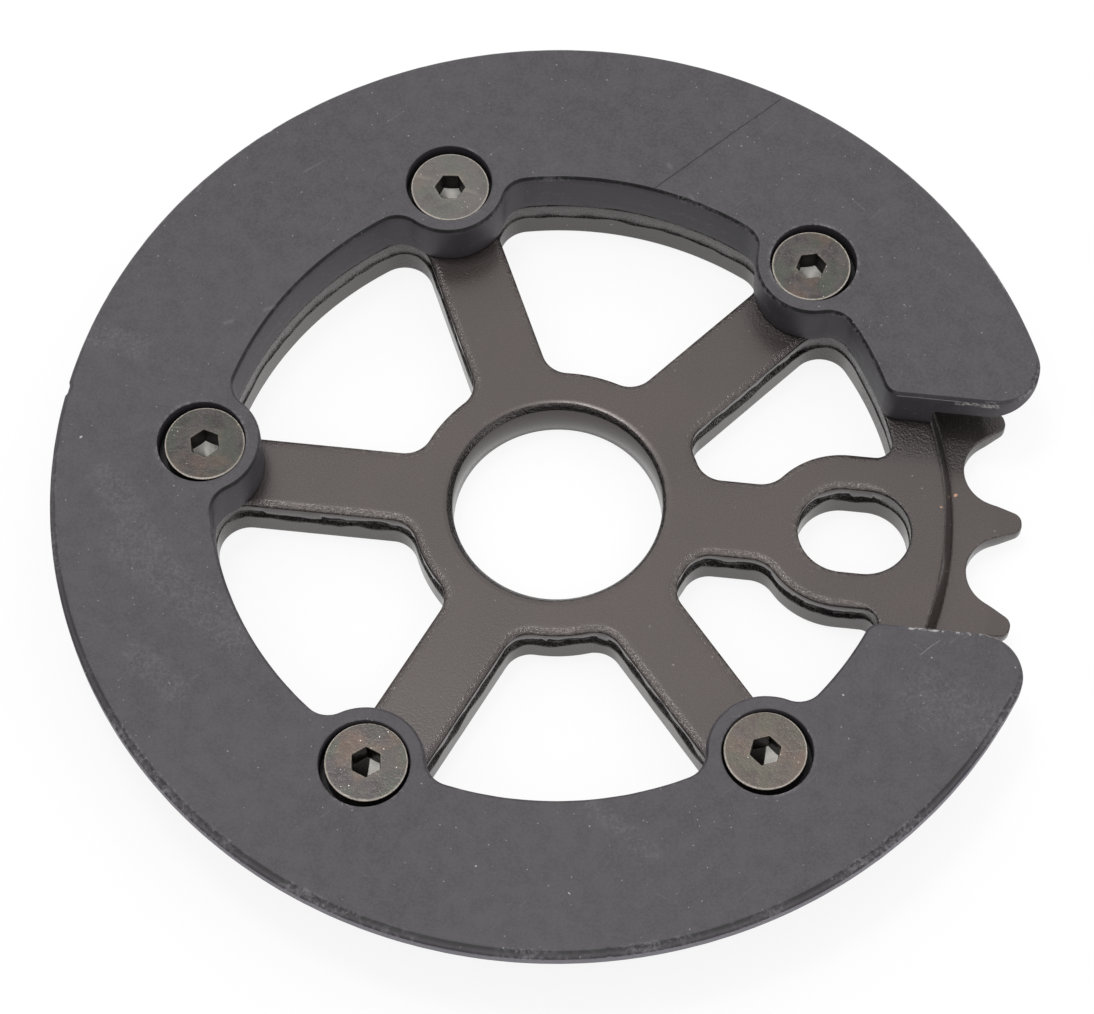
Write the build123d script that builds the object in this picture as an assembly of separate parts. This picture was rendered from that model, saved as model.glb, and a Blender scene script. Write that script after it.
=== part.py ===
from build123d import *
import os
from math import asin, cos, degrees, hypot, pi, radians, sin, sqrt

# A freestyle bicycle's chain sprocket with a bash guard bolted to its front face. Sizes are in
# millimetres and degrees. The finished pieces have their origin on the bore's axis in the plane
# that halves the teeth, +Z points out of the front face, and +X runs through the crank bolt's slot.
# The shapes are drawn with z = 0 on the sprocket's back face and moved there at the end.

# Sprocket body, turned from one blank
bore_d = 24.0
bore_chamfer = 0.6
body_thickness = 6.2
hub_r = 16.75
rim_width = 5.0

# Teeth, for half-inch pitch chain
tooth_count = 25
chain_pitch = 12.7
tooth_height = 2.4
tip_round = 1.2
tip_round_share = 0.95
seat_r = 4.5
seat_shift = 0.8
flank_angle = 19.0
tooth_phase = 4.55
tooth_thickness = 2.4
tooth_back = 1.6
tooth_bevel_run = 2.6
tooth_bevel_drop = 0.45
shoulder_run = 1.0
shoulder_inset = 2.86

# Spokes and the windows between them
spoke_count = 5
spoke_angle = 65.35
spoke_width = 8.66
window_hub_round = 3.2
hub_round_share = 0.62
window_rim_round = 3.5

# Slot for the crank's driving bolt, and the lug round it
slot_inset = 10.25
slot_length = 12.8
slot_width = 10.4
lug_wall = 4.4
neck_width = 9.6
lug_round = 1.8

# Bolts
bolt_inset = 4.0
bolt_end_gap = 0.2
shank_r = 2.45
thread_clearance = 0.05
head_r = 4.57
head_height = 2.5
head_sink = 0.42
hex_flats = 3.0
hex_depth = 3.0
hex_turns = [24.7, 10.3, 43.5, 32.2, 9.9]

# Guard, moulded in one piece and seated on the body's front face
guard_reach = 6.34
guard_height = 6.4
guard_overhang = 0.15
foot_setback = 0.1
flange_thickness = 3.5
rim_thickness = 1.4
rim_bevel_run = 6.5
guard_oversize = 0.35
head_clearance = 0.08
hole_clearance = 0.2
boss_wall = 1.7
boss_round = 3.0
gap_width = 28.6
gap_shift = 0.25
gap_inner_round = 1.8
gap_outer_round = 5.0

# Sizes that follow
bore_r = bore_d / 2
pitch_r = chain_pitch / 2 / sin(pi / tooth_count)
tip_r = pitch_r + tooth_height
root_r = pitch_r + seat_shift - seat_r
rim_outer_r = root_r - shoulder_inset
rim_inner_r = rim_outer_r - rim_width
bolt_circle_r = rim_outer_r - bolt_inset
slot_centre_r = rim_outer_r - slot_inset
guard_r = pitch_r + guard_reach
plate_front = tooth_back + tooth_thickness
tapped_r = shank_r + thread_clearance
guard_top = body_thickness + guard_height
head_top = guard_top - head_sink
head_seat = head_top - head_height
guard_bore_r = rim_inner_r - guard_overhang
foot_r = rim_outer_r - foot_setback
boss_circle_r = bolt_circle_r + guard_oversize
counterbore_r = head_r + guard_oversize + head_clearance
guard_hole_r = shank_r + guard_oversize + hole_clearance
boss_r = counterbore_r + boss_wall
lug_r = slot_width / 2 + lug_wall
lug_inner_x = slot_centre_r - (slot_length - slot_width) / 2
bolt_angles = [180 + (k - (spoke_count - 1) / 2) * spoke_angle for k in range(spoke_count)]
neck_reach = asin(neck_width / 2 / hub_r) + asin(spoke_width / 2 / hub_r)
hub_arc = hub_r * (radians(bolt_angles[0]) - neck_reach)
through = body_thickness + guard_height
touch = 0.01
chain_plane = tooth_back + tooth_thickness / 2


def polar(radius, angle):
    """The point at a radius and an angle in degrees round the bore's axis."""
    return Vector(radius * cos(radians(angle)), radius * sin(radians(angle)))


def round_corners(plan, radius, picks):
    """Rounds the corners of a flat shape whose place the test picks."""
    return fillet([v for v in plan.vertices() if picks(v.X, v.Y)], radius)


def tooth_edges(turn):
    """One tooth and the gap after it, as arcs and straight lines, turned into its place."""
    half = radians(180 / tooth_count)
    lean = radians(flank_angle)
    seat_centre_r = pitch_r + seat_shift
    outward = Vector(sin(lean), cos(lean))
    along = Vector(cos(lean), -sin(lean))
    flank_foot = Vector(seat_centre_r * cos(half), seat_centre_r * sin(half)) - outward * seat_r
    # The largest corner radius is the one at which both tip corners meet on the tooth's axis.
    full_round = (flank_foot.dot(outward) - tip_r * sin(lean)) / (1 - sin(lean))
    corner = min(tip_round, tip_round_share * full_round)
    start = flank_foot - outward * corner
    reach = -start.dot(along) + sqrt(start.dot(along) ** 2 - start.dot(start) + (tip_r - corner) ** 2)
    centre = start + along * reach
    flank_end = centre + outward * corner
    tip_end = centre * (tip_r / centre.length)
    corner_mid = centre + (outward + centre.normalized()).normalized() * corner
    gap_floor = polar(root_r, degrees(half))
    below = [Vector(p.X, -p.Y) for p in (flank_foot, flank_end, corner_mid, tip_end)]
    next_foot = below[0].rotate(Axis.Z, 2 * degrees(half))
    edges = [
        Line(below[0], below[1]),
        ThreePointArc(below[1], below[2], below[3]),
        Line(below[3], tip_end),
        ThreePointArc(tip_end, corner_mid, flank_end),
        Line(flank_end, flank_foot),
        ThreePointArc(flank_foot, gap_floor, next_foot),
    ]
    return [Rot(Z=turn) * edge for edge in edges]


def tooth_plan():
    """The outline of all the teeth as one face."""
    edges = []
    for k in range(tooth_count):
        edges += tooth_edges(tooth_phase + k * 360 / tooth_count)
    return Face(Wire(edges))


def blank():
    """The turned blank: a thick body, a slanted shoulder each side and a thin bevelled tooth plate."""
    foot = rim_outer_r + shoulder_run
    bevel = tip_r - tooth_bevel_run
    outline = [
        (0, 0),
        (rim_outer_r, 0),
        (foot, tooth_back),
        (bevel, tooth_back),
        (tip_r, tooth_back + tooth_bevel_drop),
        (tip_r, plate_front - tooth_bevel_drop),
        (bevel, plate_front),
        (foot, plate_front),
        (rim_outer_r, body_thickness),
        (0, body_thickness),
    ]
    return revolve(Plane.XZ * make_face(Polyline(*outline, close=True)), Axis.Z)


def window_plan():
    """The six windows: the ring between hub and rim, less the spokes and the slotted lug."""
    ring = Circle(rim_inner_r) - Circle(hub_r)
    for angle in bolt_angles:
        ring -= Rot(Z=angle) * Pos((hub_r + rim_inner_r) / 2, 0) * Rectangle(rim_inner_r, spoke_width)
    lug_end = rim_inner_r + lug_r
    ring -= Pos(lug_inner_x, 0) * Circle(lug_r)
    ring -= Pos((lug_inner_x + lug_end) / 2, 0) * Rectangle(lug_end - lug_inner_x, 2 * lug_r)
    ring -= Pos(lug_inner_x / 2, 0) * Rectangle(lug_inner_x, neck_width)
    # The lug's arc runs smoothly into its straight sides, so those points stay as they are.
    at_rim = lambda x, y: hypot(x, y) > rim_inner_r - touch
    at_hub = lambda x, y: hypot(x, y) < hub_r + touch
    by_lug = lambda x, y: x > 0 and abs(y) < lug_r + touch
    at_neck = lambda x, y: x > 0 and abs(y) < neck_width / 2 + touch and not at_hub(x, y)
    ring = round_corners(ring, window_rim_round, lambda x, y: at_rim(x, y) and not by_lug(x, y))
    ring = round_corners(ring, lug_round, lambda x, y: at_rim(x, y) and by_lug(x, y))
    ring = round_corners(ring, window_rim_round, at_neck)
    # Two corners share the short stretch of hub between the slot's neck and the next spoke.
    return round_corners(ring, min(window_hub_round, hub_round_share * hub_arc), at_hub)


def slot_plan():
    """The slot, long along X."""
    return Pos(slot_centre_r, 0) * SlotOverall(slot_length, slot_width)


def sprocket():
    """The sprocket: blank, teeth, windows, slot, bore and five tapped holes."""
    part = blank() & extrude(tooth_plan(), body_thickness)
    for plan in (window_plan(), slot_plan()):
        part -= extrude(plan, through, both=True)
    part -= Cylinder(bore_r, 2 * through)
    bore_edges = part.edges().filter_by(GeomType.CIRCLE).filter_by(lambda e: abs(e.radius - bore_r) < touch)
    part = chamfer(bore_edges, bore_chamfer)
    for angle in bolt_angles:
        part -= Rot(Z=angle) * Pos(bolt_circle_r, 0) * Cylinder(tapped_r, 2 * through)
    return part


def guard_plan():
    """The guard from above: a ring with a round boss at each bolt, open beside the slot."""
    plan = Circle(guard_r) - Circle(guard_bore_r)
    for angle in bolt_angles:
        plan += Rot(Z=angle) * Pos(boss_circle_r, 0) * Circle(boss_r)
    at_bore = lambda x, y: hypot(x, y) < guard_bore_r + touch
    plan = round_corners(plan.face(), boss_round, at_bore)
    plan -= Pos(guard_r, gap_shift) * Rectangle(2 * guard_r, gap_width)
    in_gap = lambda x, y: x > 0 and abs(y - gap_shift) < gap_width / 2 + touch
    at_rim = lambda x, y: hypot(x, y) > guard_r - touch
    plan = round_corners(plan.face(), gap_outer_round, lambda x, y: in_gap(x, y) and at_rim(x, y))
    return round_corners(plan.face(), gap_inner_round, lambda x, y: in_gap(x, y) and at_bore(x, y))


def guard_ring():
    """The guard: a deep foot on the body, and a thinner flange that stands over the teeth."""
    flange_under = guard_top - flange_thickness
    rim_under = guard_top - rim_thickness
    inner = bore_r
    outline = [
        (inner, body_thickness),
        (foot_r, body_thickness),
        (foot_r, flange_under),
        (guard_r - rim_bevel_run, flange_under),
        (guard_r, rim_under),
        (guard_r, guard_top),
        (inner, guard_top),
    ]
    section = make_face(Polyline(*outline, close=True))
    part = revolve(Plane.XZ * section, Axis.Z) & extrude(Pos(Z=body_thickness) * guard_plan(), guard_height)
    for angle in bolt_angles:
        place = Rot(Z=angle) * Pos(boss_circle_r, 0)
        part -= place * Cylinder(guard_hole_r, 2 * through)
        part -= place * Pos(Z=head_seat) * extrude(Circle(counterbore_r), guard_height)
    return part


def guard_bolt(angle, turn):
    """A low-headed bolt with a plain shank and a hexagon socket."""
    outline = [
        (0, bolt_end_gap),
        (shank_r, bolt_end_gap),
        (shank_r, head_seat),
        (head_r, head_seat),
        (head_r, head_top),
        (0, head_top),
    ]
    part = revolve(Plane.XZ * make_face(Polyline(*outline, close=True)), Axis.Z)
    socket = Rot(Z=turn) * RegularPolygon(hex_flats / 2, 6, major_radius=False)
    part -= Pos(Z=head_top - hex_depth) * extrude(socket, 2 * hex_depth)
    return Rot(Z=angle) * Pos(bolt_circle_r, 0) * part


def main():
    os.makedirs("parts", exist_ok=True)
    pieces = {"sprocket": sprocket(), "guard_ring": guard_ring()}
    for k, (angle, turn) in enumerate(zip(bolt_angles, hex_turns), 1):
        pieces[f"guard_bolt_{k}"] = guard_bolt(angle, turn)
    for name, piece in pieces.items():
        export_step(Pos(Z=-chain_plane) * piece, f"parts/{name}.step")
        print(name, round(piece.volume), "cubic mm")


main()
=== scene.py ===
# %% [markdown]
# # A BMX sprocket with its bash guard
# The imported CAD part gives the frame, the sizes and the places. This script builds the surfaces that a
# camera sees: soft painted edges, ragged milled walls, a scuffed plastic guard and dark steel bolts.
# All shapes are drawn in millimetres and turned into metres when a mesh is made. The frame's origin is
# on the bore's axis, halfway up the teeth, with +Z out of the guard's side and +X along the slot.

# %% The frame and the part's boxes
import bpy
import numpy as np
from math import radians
from mathutils import Matrix, Vector
from mathutils.geometry import delaunay_2d_cdt


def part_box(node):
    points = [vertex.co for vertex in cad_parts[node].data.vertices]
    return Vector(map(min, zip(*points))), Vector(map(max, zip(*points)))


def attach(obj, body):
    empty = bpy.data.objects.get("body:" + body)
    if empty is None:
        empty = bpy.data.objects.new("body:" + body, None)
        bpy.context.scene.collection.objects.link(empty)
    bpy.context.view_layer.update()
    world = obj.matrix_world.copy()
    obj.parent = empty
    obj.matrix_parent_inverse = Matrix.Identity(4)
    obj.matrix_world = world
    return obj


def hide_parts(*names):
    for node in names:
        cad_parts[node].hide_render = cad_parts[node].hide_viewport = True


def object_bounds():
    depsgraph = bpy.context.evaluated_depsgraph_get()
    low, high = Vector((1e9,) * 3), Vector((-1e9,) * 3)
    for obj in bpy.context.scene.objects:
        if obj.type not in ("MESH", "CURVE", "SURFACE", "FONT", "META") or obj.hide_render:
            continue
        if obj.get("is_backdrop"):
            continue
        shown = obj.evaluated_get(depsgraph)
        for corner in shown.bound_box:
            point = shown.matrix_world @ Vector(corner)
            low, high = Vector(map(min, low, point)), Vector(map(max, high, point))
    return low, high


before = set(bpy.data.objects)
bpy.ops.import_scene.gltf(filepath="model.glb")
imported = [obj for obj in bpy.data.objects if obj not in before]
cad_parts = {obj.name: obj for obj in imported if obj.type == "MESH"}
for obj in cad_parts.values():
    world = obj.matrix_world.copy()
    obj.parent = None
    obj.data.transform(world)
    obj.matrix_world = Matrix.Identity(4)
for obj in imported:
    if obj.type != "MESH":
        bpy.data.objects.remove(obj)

cad_low, cad_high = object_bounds()
MM = 0.001
back_z, front_z = (corner.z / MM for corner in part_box("sprocket"))
seat_z, top_z = (corner.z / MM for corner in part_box("guard_ring"))
print("back", round(back_z, 2), "front", round(front_z, 2), "guard top", round(top_z, 2))

# %% [markdown]
# ## Sizes
# These are the outlines' sizes in millimetres, the same as the CAD part's, so that each surface lies
# in the solid that it stands for.

# %% Sizes in millimetres
BORE, HUB, RIM_IN, RIM_OUT = 12.0, 16.75, 39.105, 44.105
SPOKE, NECK, LUG, LUG_X = 8.66, 9.6, 9.6, 32.655
SLOT_X, SLOT_R, SLOT_HALF = 33.855, 5.2, 1.2
TEETH, TIP_R, SEAT_R, SEAT_CENTRE = 25, 53.067, 4.5, 51.465
FLANK, PHASE, TIP_ROUND = radians(19), radians(4.55), 1.2
PLATE, SHOULDER_RUN, BEVEL_RUN, BEVEL_DROP = 1.2, 1.0, 2.6, 0.45
BOLT_R, BOSS_R, BOSS_AT = 40.105, 6.7, 40.455
GUARD_R, GUARD_IN, FOOT_R, GAP_TOP, GAP_LOW = 57.005, 38.955, 44.005, 14.55, -14.05
FLANGE_Z, RIM_Z, FLAT_R = top_z - 3.5, top_z - 1.4, 50.505
COUNTERBORE, HOLE, SEAT_Z, TAPPED = 5.0, 3.0, top_z - 2.92, 2.5
HEAD_R, HEAD_Z, SHANK_R, HEX = 4.57, top_z - 0.42, 2.45, 1.5
ANGLES = [radians(180 + k * 65.35) for k in (-2, -1, 0, 1, 2)]
HEX_TURNS = [radians(t) for t in (14.0, 5.0, 43.5, 37.6, 20.6)]

# %% [markdown]
# ## Repeatable noise
# Wear and casting waves need numbers that look random but never change. Smooth noise along a line is
# a sum of sine waves whose rates and starts come from a seeded generator; each wave twice as fast is
# half as strong, which gives the look of worn or painted metal.

# %% Noise along a line
def wave(t, seed, rate=1.0, octaves=4):
    """Smooth noise along t, about -1 to 1."""
    random = np.random.default_rng(seed)
    total = np.zeros_like(t)
    for octave in range(octaves):
        for _ in range(3):
            speed = rate * 2 ** octave * random.uniform(0.7, 1.3)
            total += np.sin(t * speed + random.uniform(0, 6.283)) / 2 ** octave
    return total / 3.2


def bumps(t, places, period):
    """Sum of soft bumps on a closed line: each place is (where, half width, height)."""
    total = np.zeros_like(t)
    for where, width, height in places:
        away = (t - where + period / 2) % period - period / 2
        total += height * np.exp(-(away / width) ** 2)
    return total


# %% [markdown]
# ## Outlines from sides and corner radii
# Each cut-out is a ring of straight and round sides with rounded corners. A side knows its signed
# distance, above zero inside the shape. A rounded corner's centre is the point that lies the radius
# away from both sides, found by Newton's method: each step solves for the move that makes both
# distances right. A corner that bulges outwards has its centre outside, so its radius is negative.

# %% Sides, corners and outlines
def distance(side, p):
    """Signed distance and its direction of increase for ("line", nx, ny, h) or ("ring", cx, cy, r, s)."""
    if side[0] == "line":
        n = np.array(side[1:3])
        return n @ p - side[3], n
    away = p - np.array(side[1:3])
    far = np.hypot(*away)
    return side[4] * (far - side[3]), side[4] * away / far


def corner_centre(a, b, reach, start):
    """Newton's method: each step moves p so that its distances from both sides become the reach."""
    p = np.array(start, float)
    for _ in range(20):
        (da, ga), (db, gb) = distance(a, p), distance(b, p)
        p = p - np.linalg.solve(np.array([ga, gb]), np.array([da - reach, db - reach]))
    return p, p - reach * ga, p - reach * gb


def straight(p, q, count):
    """Points from p up to q, q left out."""
    return p + (q - p) * (np.arange(count) / count)[:, None]


def arc(centre, p, q, turn, step):
    """Points from p up to q, q left out, round a centre; turn is 1 for anticlockwise."""
    a, b = (np.arctan2(*(x - centre)[::-1]) for x in (p, q))
    sweep = ((b - a) * turn) % (2 * np.pi)
    r = np.hypot(*(p - centre))
    count = max(3, int(np.ceil(sweep * r / step)))
    t = a + turn * sweep * np.arange(count) / count
    return centre + r * np.stack([np.cos(t), np.sin(t)], 1)


def outline(sides, corners, step=0.45, fine=0.3):
    """The closed outline, with its inside on the left. corners[i] joins side i to side i + 1."""
    joints = []
    for i, (radius, start) in enumerate(corners):
        a, b = sides[i], sides[(i + 1) % len(sides)]
        if radius is None:
            joints.append((None, np.array(start), np.array(start), 1))
        else:
            joints.append((*corner_centre(a, b, radius, start), np.sign(radius)))
    points = []
    for i, side in enumerate(sides):
        p, q = joints[i - 1][2], joints[i][1]
        if side[0] == "line":
            points.append(straight(p, q, max(2, int(np.ceil(np.hypot(*(q - p)) / step)))))
        else:
            points.append(arc(np.array(side[1:3]), p, q, -side[4], step))
        centre, start, end, turn = joints[i]
        if centre is not None:
            points.append(arc(centre, start, end, turn, fine))
    return np.concatenate(points)


def polar(r, a):
    """x and y at a radius and an angle: the radius times cosine and sine."""
    return (r * np.cos(a), r * np.sin(a))


def circle(x, y, r, count):
    """Points at equal angles round a centre, anticlockwise."""
    t = 2 * np.pi * np.arange(count) / count
    return np.stack([x + r * np.cos(t), y + r * np.sin(t)], 1)


def flip(loop):
    """The outline's mirror image about the X axis, still with its inside on the left."""
    return (loop * [1, -1])[::-1]


def normals(loop):
    """Unit directions pointing away from what lies on the loop's left."""
    along = np.roll(loop, -1, 0) - np.roll(loop, 1, 0)
    along /= np.hypot(*along.T)[:, None]
    return np.stack([along[:, 1], -along[:, 0]], 1)


def lengths(loop):
    """Distance along the loop from its first point, and the whole way round."""
    step = np.hypot(*(np.roll(loop, -1, 0) - loop).T)
    return np.concatenate([[0], np.cumsum(step)[:-1]]), step.sum()


# %% [markdown]
# ## The windows, the slot and the teeth
# A window between two spokes has four sides: rim, spoke, hub and spoke. The two windows beside the
# slot also follow the neck, the round lug and the lug's straight side. A Boolean modifier could cut
# them, but outlines give even rows of points along every wall, which the soft corners need.

# %% Windows, slot and teeth
def spoke_side(angle, turn):
    """A spoke's flank as a side; turn is 1 for the flank that faces growing angles."""
    return ("line", -turn * np.sin(angle), turn * np.cos(angle), SPOKE / 2)


def window(a, b):
    """The opening between the spokes at angles a and b: rim, spoke, hub, spoke."""
    sides = [("ring", 0, 0, RIM_IN, -1), spoke_side(b, -1), ("ring", 0, 0, HUB, 1), spoke_side(a, 1)]
    guard_shade = radians(11)
    corners = [(3.5, polar(34, b - guard_shade)), (3.2, polar(21, b - guard_shade)),
               (3.2, polar(21, a + guard_shade)), (3.5, polar(34, a + guard_shade))]
    return outline(sides, corners)


def slot_window(b):
    """The opening between the slot's lug and the spoke at angle b."""
    sides = [("ring", 0, 0, RIM_IN, -1), spoke_side(b, -1), ("ring", 0, 0, HUB, 1),
             ("line", 0, 1, NECK / 2), ("ring", LUG_X, 0, LUG, 1), ("line", 0, 1, LUG)]
    corners = [(3.5, polar(34, b - radians(11))), (3.2, polar(20.5, b - radians(20))),
               (3.2, (18.3, 8.5)), (3.5, (22.5, 9.0)), (None, (LUG_X, LUG)), (1.8, (36.5, 11.5))]
    return outline(sides, corners)


def slot():
    """Two half circles, each round its own middle, joined by two short flats."""
    points = []
    for s in (1, -1):
        middle, start, end = (np.array([SLOT_X + s * SLOT_HALF, s * y]) for y in (0.0, -SLOT_R, SLOT_R))
        points.append(arc(middle, start, end, 1, 0.25))
        flat = SLOT_X + s * np.linspace(SLOT_HALF, -SLOT_HALF, 8)[:-1]
        points.append(np.column_stack([flat, np.full(7, s * SLOT_R)]))
    return np.concatenate(points)


def turned(points, angle):
    """Points turned anticlockwise round the origin."""
    c, s = np.cos(angle), np.sin(angle)
    return points @ np.array([[c, s], [-s, c]])


def tooth(turn):
    """One tooth and the gap after it, in the order of growing angle."""
    half = np.pi / TEETH
    outward = np.array([np.sin(FLANK), np.cos(FLANK)])
    along = np.array([np.cos(FLANK), -np.sin(FLANK)])
    foot = np.array(polar(SEAT_CENTRE, half)) - SEAT_R * outward
    start = foot - TIP_ROUND * outward
    reach = -start @ along + np.sqrt((start @ along) ** 2 - start @ start + (TIP_R - TIP_ROUND) ** 2)
    centre = start + reach * along
    side, tip = centre + TIP_ROUND * outward, centre * TIP_R / np.hypot(*centre)
    lower = [x * [1, -1] for x in (foot, side, tip)]
    points = np.concatenate([
        straight(lower[0], lower[1], 4),
        arc(centre * [1, -1], lower[1], lower[2], 1, 0.16),
        arc(np.zeros(2), lower[2], tip, 1, 0.2),
        arc(centre, tip, side, 1, 0.16),
        straight(side, foot, 4),
        arc(np.array(polar(SEAT_CENTRE, half)), foot, turned(lower[0], 2 * half), -1, 0.45),
    ])
    return turned(points, turn)


upper = [slot_window(ANGLES[0]), window(ANGLES[0], ANGLES[1]), window(ANGLES[1], ANGLES[2])]
windows = upper + [flip(loop) for loop in upper]
teeth = np.concatenate([tooth(PHASE + k * 2 * np.pi / TEETH) for k in range(TEETH)])
print("window points", [len(loop) for loop in windows], "tooth outline points", len(teeth))

# %% [markdown]
# ## Building a closed surface
# A piece is collected as rows of points that run round an outline. Two rows side by side make a strip
# of four-sided faces, and flat areas between outlines are filled with triangles. Strips and flat
# areas share their border points, so the surface is closed. Each point carries three values for the
# finish: edge (1 on a worn corner; on a bolt's socket floor it carries a painted highlight), wall (1 on
# a cut wall) and dark (painted shade in grooves, recesses, crevices and under the guard, and dark
# dashes along some lower edges). A Bevel modifier could round the corners, but it would know neither
# the values nor ragged seams.

# %% Rows, strips and flat areas
class Shell:
    def __init__(self):
        self.points, self.values, self.quads, self.tris = [], [], [], []
        self.count = 0

    def row(self, xy, z, edge=0.0, wall=0.0, dark=0.0):
        """Adds a row of points; returns their numbers."""
        n = len(xy)
        z = np.broadcast_to(z, n)
        self.points.append(np.column_stack([xy, z]))
        self.values.append(np.column_stack([np.broadcast_to(v, n) for v in (edge, wall, dark)]))
        self.count += n
        return np.arange(self.count - n, self.count)

    def strip(self, a, b, closed=True):
        """Joins row a to row b, which lies below it or further out when the inside is on the left."""
        if closed:
            a2, b2 = np.roll(a, -1), np.roll(b, -1)
        else:
            a, a2, b, b2 = a[:-1], a[1:], b[:-1], b[1:]
        self.quads.append(np.stack([a, b, b2, a2], 1))

    def strips(self, rows, closed=True):
        """Joins each row to the next one."""
        for a, b in zip(rows[:-1], rows[1:]):
            self.strip(a, b, closed)

    def fill(self, loops, up=True, extra=()):
        """Fills the flat area inside the first loop and outside the others with triangles. A triangle
        belongs to it if a ray from its centre crosses the loops an odd number of times."""
        ids = np.concatenate([*loops, *extra])
        xy = np.concatenate(self.points)[ids, :2]
        edges, base = [], 0
        for loop in loops:
            k = base + np.arange(len(loop))
            edges.append(np.stack([k, np.roll(k, -1)], 1))
            base += len(loop)
        edges = np.concatenate(edges)
        made = delaunay_2d_cdt([Vector(p) for p in xy], edges.tolist(), [], 0, 1e-7)
        where = np.array([olds[0] for olds in made[3]])
        tris = where[np.array(made[2])]
        centre = xy[tris].mean(1)
        a, b = xy[edges[:, 0]], xy[edges[:, 1]]
        crosses = (a[:, 1] > centre[:, None, 1]) != (b[:, 1] > centre[:, None, 1])
        slope = (b[:, 0] - a[:, 0]) / np.where(a[:, 1] == b[:, 1], 1, b[:, 1] - a[:, 1])
        right = centre[:, None, 0] < a[:, 0] + slope * (centre[:, None, 1] - a[:, 1])
        tris = tris[(crosses & right).sum(1) % 2 == 1]
        # A sliver outside a nearly straight border can pass, but it shares its long side with none.
        sides = np.sort(tris[:, [[0, 1], [1, 2], [2, 0]]], 2) @ [len(xy), 1]
        border = np.sort(edges, 1) @ [len(xy), 1]
        _, which, uses = np.unique(sides, return_inverse=True, return_counts=True)
        alone = (uses[which].reshape(sides.shape) == 1) & ~np.isin(sides, border)
        tris = tris[~alone.any(1)]
        u, v = xy[tris[:, 1]] - xy[tris[:, 0]], xy[tris[:, 2]] - xy[tris[:, 0]]
        facing_up = u[:, 0] * v[:, 1] - u[:, 1] * v[:, 0] > 0
        tris[facing_up != up] = tris[facing_up != up][:, ::-1]
        self.tris.append(ids[tris])

    def mesh(self, name, material, sharp=38):
        """The piece: walls are shaded smooth where they bend less than the sharp angle, flat areas flat."""
        # The solid's own facets run a few thousandths inside its true arcs, so the points keep to its box.
        points = np.clip(np.concatenate(self.points) * MM, cad_low, cad_high)
        faces = [f for q in self.quads for f in q.tolist()]
        walls = len(faces)
        faces += [f for t in self.tris for f in t.tolist()]
        mesh = bpy.data.meshes.new(name)
        mesh.from_pydata(points.tolist(), [], faces)
        mesh.polygons.foreach_set("use_smooth", np.arange(len(faces)) < walls)
        mesh.update()
        mesh.set_sharp_from_angle(angle=radians(sharp))
        for k, value in enumerate(("edge", "wall", "dark")):
            data = np.concatenate(self.values)[:, k].astype(np.float32)
            mesh.attributes.new(value, "FLOAT", "POINT").data.foreach_set("value", data)
        mesh.materials.append(material)
        piece = bpy.data.objects.new(name, mesh)
        bpy.context.scene.collection.objects.link(piece)
        low, high = points.min(0) / MM, points.max(0) / MM
        print(name, "triangles", walls + len(faces), "box", low.round(2), high.round(2))
        return piece


def inset(loop, outward, amount):
    """The loop moved into the solid by an amount, one for all or one for each point."""
    return loop - outward * np.reshape(amount, (-1, 1))


ROUND = [radians(a) for a in (0, 22.5, 45, 67.5, 90)]
SOFT = [radians(a) for a in (0, 15, 30, 45, 60, 75, 90)]

# %% [markdown]
# ## Shading nodes
# A node tree reads like a formula here: each method of Nodes adds a node and returns its output. A
# tree has one place, the coordinates that its patterns are laid out in.

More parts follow.
